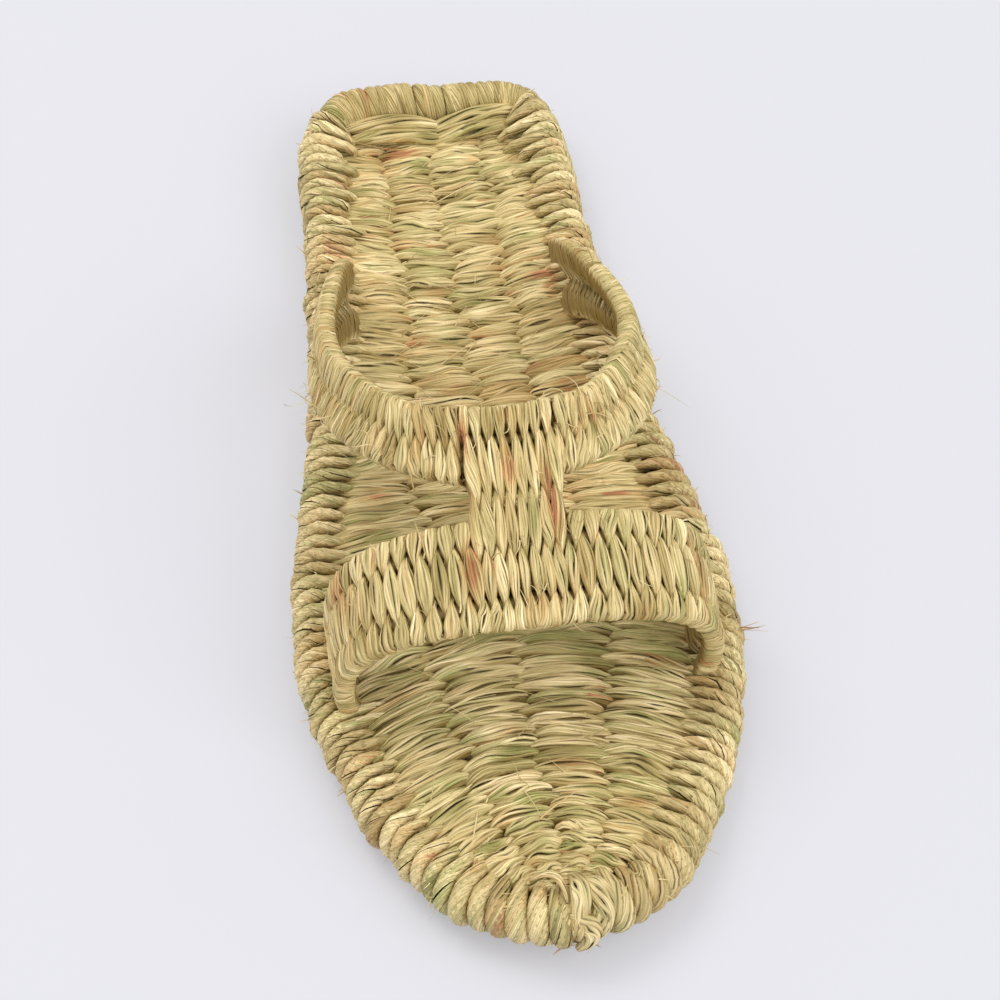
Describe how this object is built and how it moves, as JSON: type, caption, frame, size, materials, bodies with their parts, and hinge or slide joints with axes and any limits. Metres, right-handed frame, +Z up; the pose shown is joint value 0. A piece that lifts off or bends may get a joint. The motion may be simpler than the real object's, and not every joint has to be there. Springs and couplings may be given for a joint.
{
  "type": "straw sandal",
  "caption": "Woven straw slide sandal: plaited sole mat with a wrapped rope edge and heel roll, and an H-shaped plaited upper of a toe strap and an instep strap.",
  "frame": {"origin": "on the floor under the middle of the sandal's length and width, where the sole mat's flat underside rests", "axes": "+Z up, +Y along the foot towards the heel, so the toe points along -Y; +X to the right as seen from the toe looking at the heel"},
  "size_m": [0.1092, 0.2704, 0.0667],
  "materials": {
    "straw_mat": "plaited dry straw, matte with a faint sheen, yellow-green to tan",
    "straw_edge": "straw bundles wrapped as a rope, matte with a faint sheen",
    "straw_heel": "thick straw wraps, matte with a faint sheen",
    "straw_upper": "fine plaited straw, matte with a faint sheen, pale"
  },
  "bodies": {
    "root": {"footbed_mat": "straw_mat", "edge_rope": "straw_edge", "heel_binding": "straw_heel", "upper": "straw_upper"}
  },
  "joints": []
}
